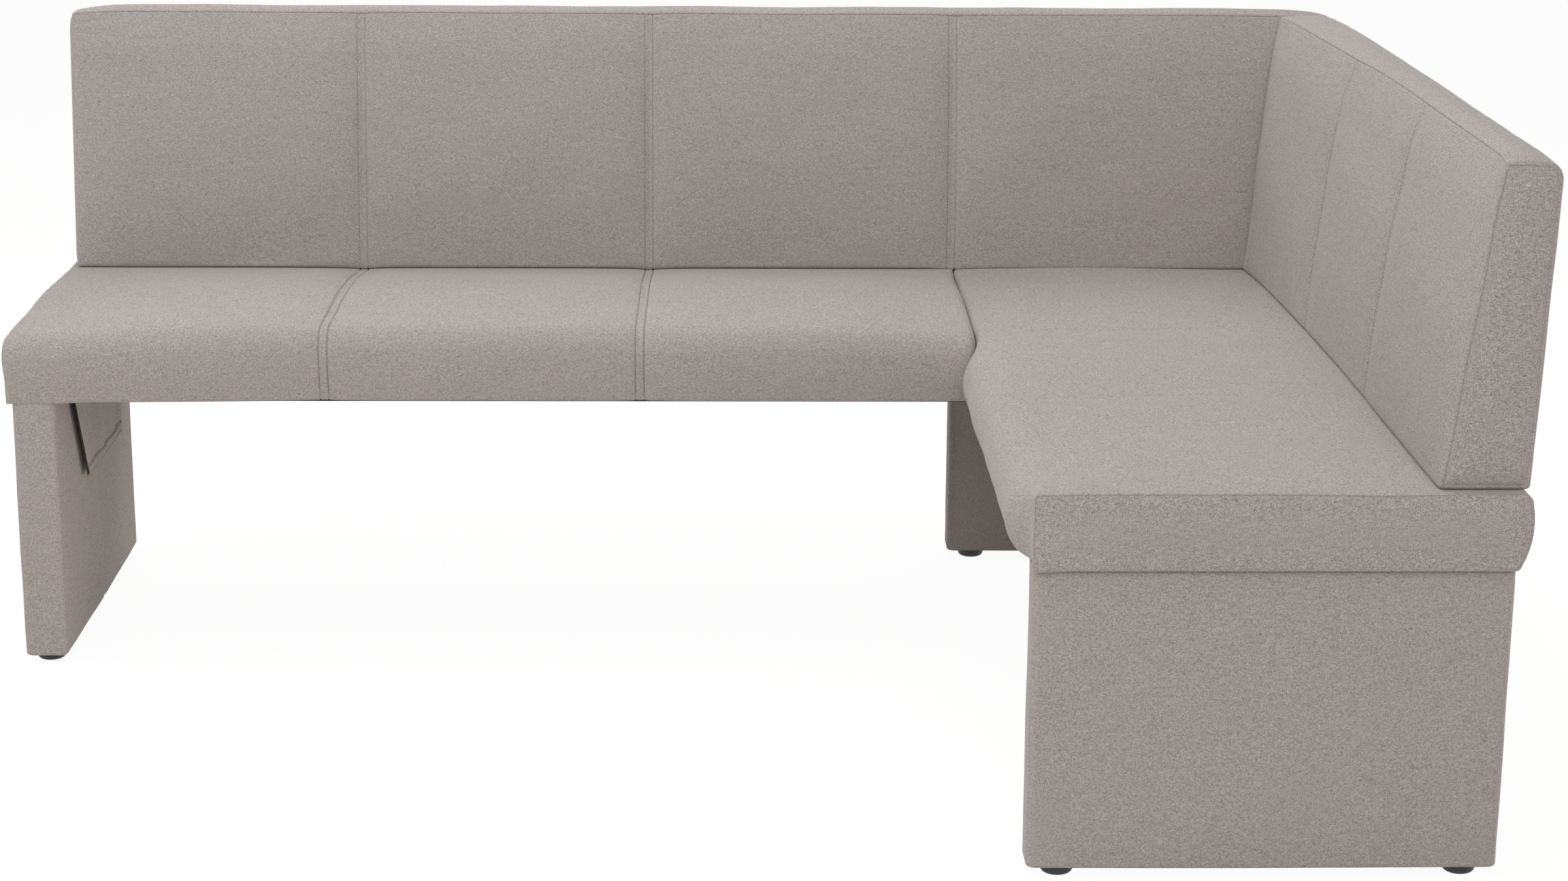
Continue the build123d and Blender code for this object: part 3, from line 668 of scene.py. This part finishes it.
def long_back_form(s, shape):
    """The long back's top falls off towards both of its ends, and its foot reaches into the dips."""
    high = ease((shape[:, 1] - FALL_START) / FALL_SPREAD)
    left = LEFT_FALL * np.exp(-(s - LONG_BACK[0]) / FALL_REACH)
    right = RIGHT_FALL * np.exp(-(LONG_BACK[1] - s) / FALL_REACH)
    return np.zeros(len(shape)), seam_drop(s, shape, LONG_BACK_SEAMS) - high * (left + right)


def short_back_form(s, shape):
    """The short back is fuller where it meets the long one, and its rear edge falls off there."""
    along = s - SHORT_BACK[0]
    front = ease((-shape[:, 0] - 20.0) / 30.0)
    level = ease((shape[:, 1] - BACK_LOW) / 380.0)
    fuller = (FULLER + FULLER_ABOVE * level) * (1 - ease(along / FULLER_REACH))
    fuller = fuller + (JOINT + JOINT_ABOVE * level) * np.exp(-along / JOINT_REACH)
    rear = ease((shape[:, 0] + 25.0) / 30.0) * ease((shape[:, 1] - 830.0) / 40.0)
    fall = REAR_FALL * rear * (1 - ease(along / REAR_REACH))
    return -front * fuller, seam_drop(s, shape, SHORT_SEAMS) * 0.5 - fall


long_seat.extra = long_seat_form
long_seat.lean = long_seat_lean
short_seat.extra = seat_bulge
long_back.extra = long_back_form
short_back.extra = short_back_form


# How deep the short back's start lies in the long back, how far along its lean dies out, and the long
# back's front profile from its foot to its head.
BURIED = 0.8
CORNER_FADE = 320.0
long_front = long_back.full[np.argsort(long_back.full[:, 1])]
long_front = long_front[long_front[:, 0] < -BACK_HEAD / 2]


def to_rear(shape):
    """How far the points of a back's section lie towards its rear, from 0 to 1."""
    return ease((shape[:, 0] + 55.0) / 35.0)


def corner_lean(s, shape):
    """How far the short back's start follows the long back's leaning and rolled front."""
    z = shape[:, 1]
    rise = (z - BACK_LOW) / (BACK_TOP - BACK_LOW)
    deep = (BACK_HEAD - BACK_LEAN - BACK_FOOT) * rise - 7.0 - 7.0 * ease((z - 750.0) / 90.0)
    met = -np.interp(z, long_front[:, 1], long_front[:, 0]) - SHORT_BACK[0] - BURIED
    fade = np.clip((s - SHORT_BACK[0]) / CORNER_FADE, 0, 1)
    return (met + (deep - met) * to_rear(shape)) * (1 - fade) ** 2


short_back.lean = corner_lean
above_seat = ease((short_back.full[:, 1] - BACK_LOW) / 25.0)
short_back.rolled = (above_seat * (1 - 0.6 * to_rear(short_back.full)), short_back.rolled[1])

long_seat.build("long_seat_cushion", cloth, coarse_cloth, "long_seat_cover", fill=0.9)
short_seat.build("short_seat_cushion", cloth, coarse_cloth, "short_seat_cover", fill=0.9)
long_back.build("long_back_cushion", cloth, coarse_cloth, "long_back_cover", fill=0.9)
short_back.build("short_back_cushion", cloth, coarse_cloth, "short_back_cover", fill=0.9)


# Stitching

# Length of a stitch, distance from one to the next, the thread's radius and its number of sides.
STITCH = 3.3
STITCH_PITCH = 4.8
THREAD = 0.42
SIDES = 6

# Rings of one stitch: share of its length, share of the thread's radius, and how far it stands out.
STITCH_RINGS = [(0.0, 0.35, -0.35), (0.2, 0.95, 0.05), (0.8, 0.95, 0.05), (1.0, 0.35, -0.35)]


def stitches(name, runs):
    """Thread dashes along runs of (points, normals), one piece."""
    points, faces = [], []
    for path, normals in runs:
        along = travel(path)
        for start in np.arange(0.002, along[-1] - STITCH * MM, STITCH_PITCH * MM):
            ends = [start, start + STITCH * MM / 2, start + STITCH * MM]
            spots = np.stack([np.interp(ends, along, path[:, i]) for i in range(3)], 1)
            up = np.array([np.interp(ends[1], along, normals[:, i]) for i in range(3)])
            up /= np.linalg.norm(up)
            way = spots[2] - spots[0]
            way /= np.linalg.norm(way)
            side = np.cross(way, up)
            base = len(points)
            for share, thick, proud in STITCH_RINGS:
                centre = spots[0] + (spots[2] - spots[0]) * share + up * proud * MM
                for k in range(SIDES):
                    turn = 2 * pi * k / SIDES
                    points.append(centre + (side * cos(turn) + up * sin(turn)) * THREAD * thick * MM)
            last = len(STITCH_RINGS) - 1
            for ring in range(last):
                faces += ring_faces(base + ring * SIDES, base + (ring + 1) * SIDES, SIDES)
            faces.append(range(base + SIDES - 1, base - 1, -1))
            faces.append(range(base + last * SIDES, base + (last + 1) * SIDES))
    return piece(name, points, faces, thread_matter)


def seam_run(cushion, s, lowest):
    """Path and normals of a seam line where the cushion's seams show."""
    shown = np.flatnonzero(cushion.seamed >= lowest)
    here = cushion.surface(s)[shown]
    near = cushion.surface(s + 0.4)[shown]
    tangent = np.gradient(here, axis=0)
    normal = np.cross(tangent, near - here)
    normal /= np.linalg.norm(normal, axis=1)[:, None]
    middle = len(shown) // 2
    v, z = cushion.normal[shown][middle]
    outwards = (0, v, z) if cushion.bench == "long" else (v, 0, z)
    if normal[middle] @ np.array(outwards) < 0:
        normal = -normal
    return here, normal


seat_lines = [at + side for at in LONG_SEAMS for side in (-SEAM_HALF, SEAM_HALF)]
stitches("long_seat_stitching", [seam_run(long_seat, s, 1.0) for s in seat_lines])
stitches("long_back_stitching", [seam_run(long_back, at - SEAM_HALF, 0.9) for at in LONG_BACK_SEAMS])
stitches("short_back_stitching", [seam_run(short_back, at - SEAM_HALF, 0.9) for at in SHORT_SEAMS])


# Cheek panels

CHEEK_LOW, CHEEK_TOP = 14.0, 391.3
CHEEK_FRONT, CHEEK_REAR = -581.0, -11.0
CHEEK_WIDE = 60.0

# Radius of the upright edges, swell of the two faces, radius of the lower edge, and the unevenness.
CHEEK_ROUND = 10.0
CHEEK_SWELL = 1.6
CHEEK_FOOT = 4.0
CHEEK_WAVES = [(260, 0.5), (80, 0.2)]


def cheek_section(s0, grow):
    """Level section of a cheek panel as (s, v) points."""
    r = CHEEK_ROUND
    near, far = s0 - grow, s0 + CHEEK_WIDE + grow
    front, rear = CHEEK_FRONT - grow, CHEEK_REAR + grow
    mid = (front + rear) / 2
    d = r * ROUND_MID
    parts = [
        arc((near, rear - r), (near - CHEEK_SWELL, mid), (near, front + r), 44),
        arc((near, front + r), (near + d, front + d), (near + r, front), 7),
        line((near + r, front), (far - r, front), 8),
        arc((far - r, front), (far - d, front + d), (far, front + r), 7),
        arc((far, front + r), (far + CHEEK_SWELL, mid), (far, rear - r), 44),
        arc((far, rear - r), (far - d, rear - d), (far - r, rear), 7),
        line((far - r, rear), (near + r, rear), 8),
        arc((near + r, rear), (near + d, rear - d), (near, rear - r), 7),
    ]
    return np.concatenate(parts)


def cheek_panel(name, bench, s0, replaced, seed, seam_side=None):
    """Padded cheek panel, its cover drawn in under the seat and at the floor."""
    levels = [CHEEK_LOW + d for d in (0, 0.6, 1.5, 3, 5, 8)] + list(np.linspace(26, 376, 26))
    levels += [CHEEK_TOP - 5, CHEEK_TOP]
    rings = []
    for z in levels:
        edge = CHEEK_FOOT - min(z - CHEEK_LOW, CHEEK_FOOT)
        shrink = max(0.0, CHEEK_FOOT - (CHEEK_FOOT**2 - edge**2) ** 0.5)
        shape = cheek_section(s0, -shrink)
        points = place(bench, shape[:, 0], shape[:, 1], np.full(len(shape), z))
        normal = outward(shape)
        uneven = unevenness(points, CHEEK_WAVES, seed)
        if seam_side:
            facing = np.clip(normal[:, 0] * seam_side, 0, 1)
            uneven = uneven - 1.3 * facing * hump(shape[:, 1] - (CHEEK_FRONT + CHEEK_REAR) / 2, 2.0)
        shape = shape + normal * uneven[:, None]
        rings.append(place(bench, shape[:, 0], shape[:, 1], np.full(len(shape), z)))
    middle = rings[0].mean(0)
    for share in (0.12, 0.5):
        inner = rings[0].copy()
        inner += (middle - inner) * share
        rings.insert(0, inner)
        lid = rings[-1].copy()
        lid += (lid.mean(0) - lid) * share
        rings.append(lid)
    points, faces = tube(rings)
    made = piece(name, points, faces, cloth)
    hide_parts(replaced)
    return made


cheek_panel("left_cheek_panel", "long", 11.0, "left_cheek_cover", seed=21, seam_side=1)
cheek_panel("corner_cheek_panel", "short", 2.0, "corner_cheek_cover", seed=23)
cheek_panel("end_cheek_panel", "short", 1315.0, "end_cheek_cover", seed=25)


# Hanging flap

FLAP_S = 82.3
FLAP_TOP, FLAP_DROP = 387.5, 150.0
FLAP_FRONT_TOP, FLAP_FRONT_LOW, FLAP_REAR = -497.0, -413.0, -157.0
HEM = 17.0
FLAP_GRID = 150
HEM_POINTS = 300

# The lining's distance from the flap, its share of the flap's drop, and how far its front stands out.
LINING_GAP, LINING_DROP, LINING_PROUD = 1.6, 0.985, 5.0
HEM_GAP, THREAD_GAP = 1.1, 1.6

# Depth of the folds, and how many folds, small folds and gathers at the hem there are across the flap.
FOLD_DEPTH = 3.8
FOLDS, SMALL_FOLDS, GATHERS = 3, 5, 31


def flap_point(across, down):
    """Depth, sideways fold and height of a point, across from the front edge and down the drop."""
    front = FLAP_FRONT_TOP + (FLAP_FRONT_LOW - FLAP_FRONT_TOP) * down
    v = front + (FLAP_REAR - front) * across
    deep = 0.4 + FOLD_DEPTH * np.sin(np.clip(down, 0, 1) * 3.0)
    fold = np.sin(across * FOLDS * 2 * pi + 0.5 * down)
    fold = fold + 0.35 * np.sin(across * SMALL_FOLDS * 2 * pi + 1.3)
    fold = fold - 0.6 * np.cos(across * 2 * pi)
    hem = np.clip((down * FLAP_DROP - (FLAP_DROP - HEM - 8)) / 10, 0, 1)
    gather = hem * 0.5 * np.sin(across * GATHERS * 2 * pi) * (0.6 + 0.4 * np.sin(across * 7))
    z = FLAP_TOP - FLAP_DROP * down
    return v, deep * fold * 0.62 + gather, z


def sheet_grid(columns, rows, point):
    """Points and quads of a rectangular sheet."""
    across, down = np.meshgrid(np.linspace(0, 1, columns), np.linspace(0, 1, rows))
    points = point(across.ravel(), down.ravel())
    faces = []
    for r in range(rows - 1):
        for c in range(columns - 1):
            i = r * columns + c
            faces.append((i, i + 1, i + columns + 1, i + columns))
    return points, faces


def flap_place(across, down, offset, low=1.0, proud=0.0):
    """Place of a point of a layer of the flap, offset sideways, with its front edge standing proud."""
    v, fold, z = flap_point(across, down * low)
    return place("long", FLAP_S + offset + fold, v - proud * (0.4 + 0.9 * down) * (1 - across) ** 8, z)


def lining_place(across, down):
    """Place of a point of the lining."""
    return flap_place(across, down, -LINING_GAP, LINING_DROP, LINING_PROUD)


def hem_place(across, down):
    """Place of a point of the hem's turned-up cloth."""
    return flap_place(across, 1 - HEM / FLAP_DROP * (1 - down), HEM_GAP)


def thicken(made, thickness):
    """Give a sheet its thickness in millimetres."""
    solid = made.modifiers.new("cloth", "SOLIDIFY")
    solid.thickness = thickness * MM
    solid.offset = 0
    return made


points, faces = sheet_grid(FLAP_GRID, 60, lambda a, d: flap_place(a, d, offset=0.0))
flap = thicken(piece("flap_cloth", points, faces, cloth, "flap"), 0.9)
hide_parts("access_flap")
points, faces = sheet_grid(FLAP_GRID, 50, lining_place)
lining = thicken(piece("flap_lining_cloth", points, faces, black_cloth, "flap"), 0.5)
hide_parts("flap_lining")
points, faces = sheet_grid(FLAP_GRID, 10, hem_place)
hem = thicken(piece("flap_hem", points, faces, cloth, "flap"), 0.8)


def hem_run(level):
    """Path and normals of a stitched line of the hem, at a height above its lower edge."""
    a = np.linspace(0.005, 0.995, HEM_POINTS)
    path = flap_place(a, np.full(HEM_POINTS, 1 - level / FLAP_DROP), THREAD_GAP)
    return path, np.tile([1.0, 0.0, 0.0], (HEM_POINTS, 1))


hem_thread = stitches("flap_stitching", [hem_run(3.5), hem_run(HEM - 2.5)])
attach(hem_thread, "flap")


# Dust covers under the seats

DUST_INSET = 12.0
DUST_LEVEL = 391.4


def dust_cloth(name, bench, length, replaced, seed):
    """Black cloth stretched under a seat, a little slack between its edges."""
    long_way, deep_way = length - 2 * DUST_INSET, SEAT_DEPTH - 2 * DUST_INSET

    def point(a, d):
        s = DUST_INSET + long_way * a
        v = -DUST_INSET - deep_way * d
        flat_points = place(bench, s, v, np.full(len(s), DUST_LEVEL))
        slack = np.clip(np.minimum(np.minimum(a, 1 - a) * 12, np.minimum(d, 1 - d) * 8), 0, 1)
        return flat_points + np.outer(0.25 * slack * swell(flat_points, 160, seed) * MM, (0, 0, 1))

    points, faces = sheet_grid(90, 50, point)
    made = thicken(piece(name, points, faces, black_cloth), 0.5)
    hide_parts(replaced)


dust_cloth("long_dust_cloth", "long", LONG_SEAT, "long_seat_dust_cover", seed=31)
dust_cloth("short_dust_cloth", "short", SHORT_SEAT, "short_seat_dust_cover", seed=33)


# Stage, light and camera

FLOOR_HALF = 30.0


def background_rays(tree):
    """1 for the rays that show the white background: camera, glossy and transmission rays."""
    path = node(tree, "ShaderNodeLightPath")
    seen = maths(tree, "ADD", path.outputs["Is Camera Ray"], path.outputs["Is Glossy Ray"])
    return maths(tree, "MINIMUM", maths(tree, "ADD", seen, path.outputs["Is Transmission Ray"]), 1.0)


def floor_matter(tree, principled):
    """Pale floor that looks nearly white and keeps the object's shadow."""
    out = tree.nodes["Material Output"]
    principled.inputs["Base Color"].default_value = (0.86, 0.83, 0.79, 1)
    principled.inputs["Roughness"].default_value = 0.9
    principled.inputs["Specular IOR Level"].default_value = 0.0
    white = node(tree, "ShaderNodeEmission", Color=(1, 1, 1, 1), Strength=1.05)
    seen = background_rays(tree)
    mix = node(tree, "ShaderNodeMixShader")
    tree.links.new(maths(tree, "MULTIPLY", seen, 0.9), mix.inputs[0])
    tree.links.new(principled.outputs[0], mix.inputs[1])
    tree.links.new(white.outputs[0], mix.inputs[2])
    tree.links.new(mix.outputs[0], out.inputs["Surface"])


corners = [(x * FLOOR_HALF, y * FLOOR_HALF, 0) for x, y in ((-1, -1), (1, -1), (1, 1), (-1, 1))]
mesh = bpy.data.meshes.new("floor")
mesh.from_pydata(corners, [], [(0, 1, 2, 3)])
floor = bpy.data.objects.new("floor", mesh)
bpy.context.scene.collection.objects.link(floor)
floor.data.materials.append(shader("pale_floor", floor_matter))

WORLD_LIGHT = 0.3
world = bpy.data.worlds.new("studio")
bpy.context.scene.world = world
world.use_nodes = True
tree = world.node_tree
background = tree.nodes["Background"]
seen = background_rays(tree)
strength = maths(tree, "ADD", maths(tree, "MULTIPLY", seen, 1 - WORLD_LIGHT), WORLD_LIGHT)
tree.links.new(strength, background.inputs["Strength"])
background.inputs["Color"].default_value = (1, 1, 1, 1)


def soft_box(name, at, target, size, power, colour=(1.0, 1.0, 1.0)):
    """Large soft lamp aimed at a point."""
    data = bpy.data.lights.new(name, "AREA")
    data.shape = "RECTANGLE"
    data.size, data.size_y = size
    data.energy = power
    data.color = colour
    lamp = bpy.data.objects.new(name, data)
    lamp.location = at
    lamp.rotation_euler = (Vector(target) - Vector(at)).to_track_quat("-Z", "Y").to_euler()
    bpy.context.scene.collection.objects.link(lamp)


soft_box("overhead", (-0.9, -0.5, 3.6), (-0.4, 0.2, 0.4), (3.0, 3.5), 57)
soft_box("rear_box", (0.0, 2.2, 3.2), (0.0, 0.2, 0.4), (4.0, 1.5), 38)
soft_box("front_box", (0.0, -4.4, 3.0), (0.0, 0.0, 0.4), (3.5, 2.0), 81)
soft_box("left_box", (-4.2, 0.2, 1.9), (0.6, 0.0, 0.5), (2.5, 2.5), 28)
soft_box("low_box", (3.4, 0.4, 0.32), (-0.9, 0.4, 0.25), (1.6, 0.5), 38, (1.0, 0.89, 0.78))

# The camera fitted to the photo's edges.
LENS = 72.087
PITCH, YAW, ROLL = radians(14.906), radians(1.367), radians(0.402)
CAMERA_AT = Vector((0.0118, -4.19915, 1.4822))
data = bpy.data.cameras.new("camera")
data.sensor_width = 36.0
data.lens = LENS
data.clip_end = 100.0
camera = bpy.data.objects.new("camera", data)
forward = Vector((sin(YAW) * cos(PITCH), cos(YAW) * cos(PITCH), -sin(PITCH)))
level = Vector((cos(YAW), -sin(YAW), 0))
upright = level.cross(forward)
right = level * cos(ROLL) + upright * sin(ROLL)
up = upright * cos(ROLL) - level * sin(ROLL)
turn = Matrix((right, up, -forward)).transposed()
camera.matrix_world = Matrix.Translation(CAMERA_AT) @ turn.to_4x4()
bpy.context.scene.collection.objects.link(camera)
bpy.context.scene.camera = camera
bpy.context.scene.view_settings.view_transform = "Standard"
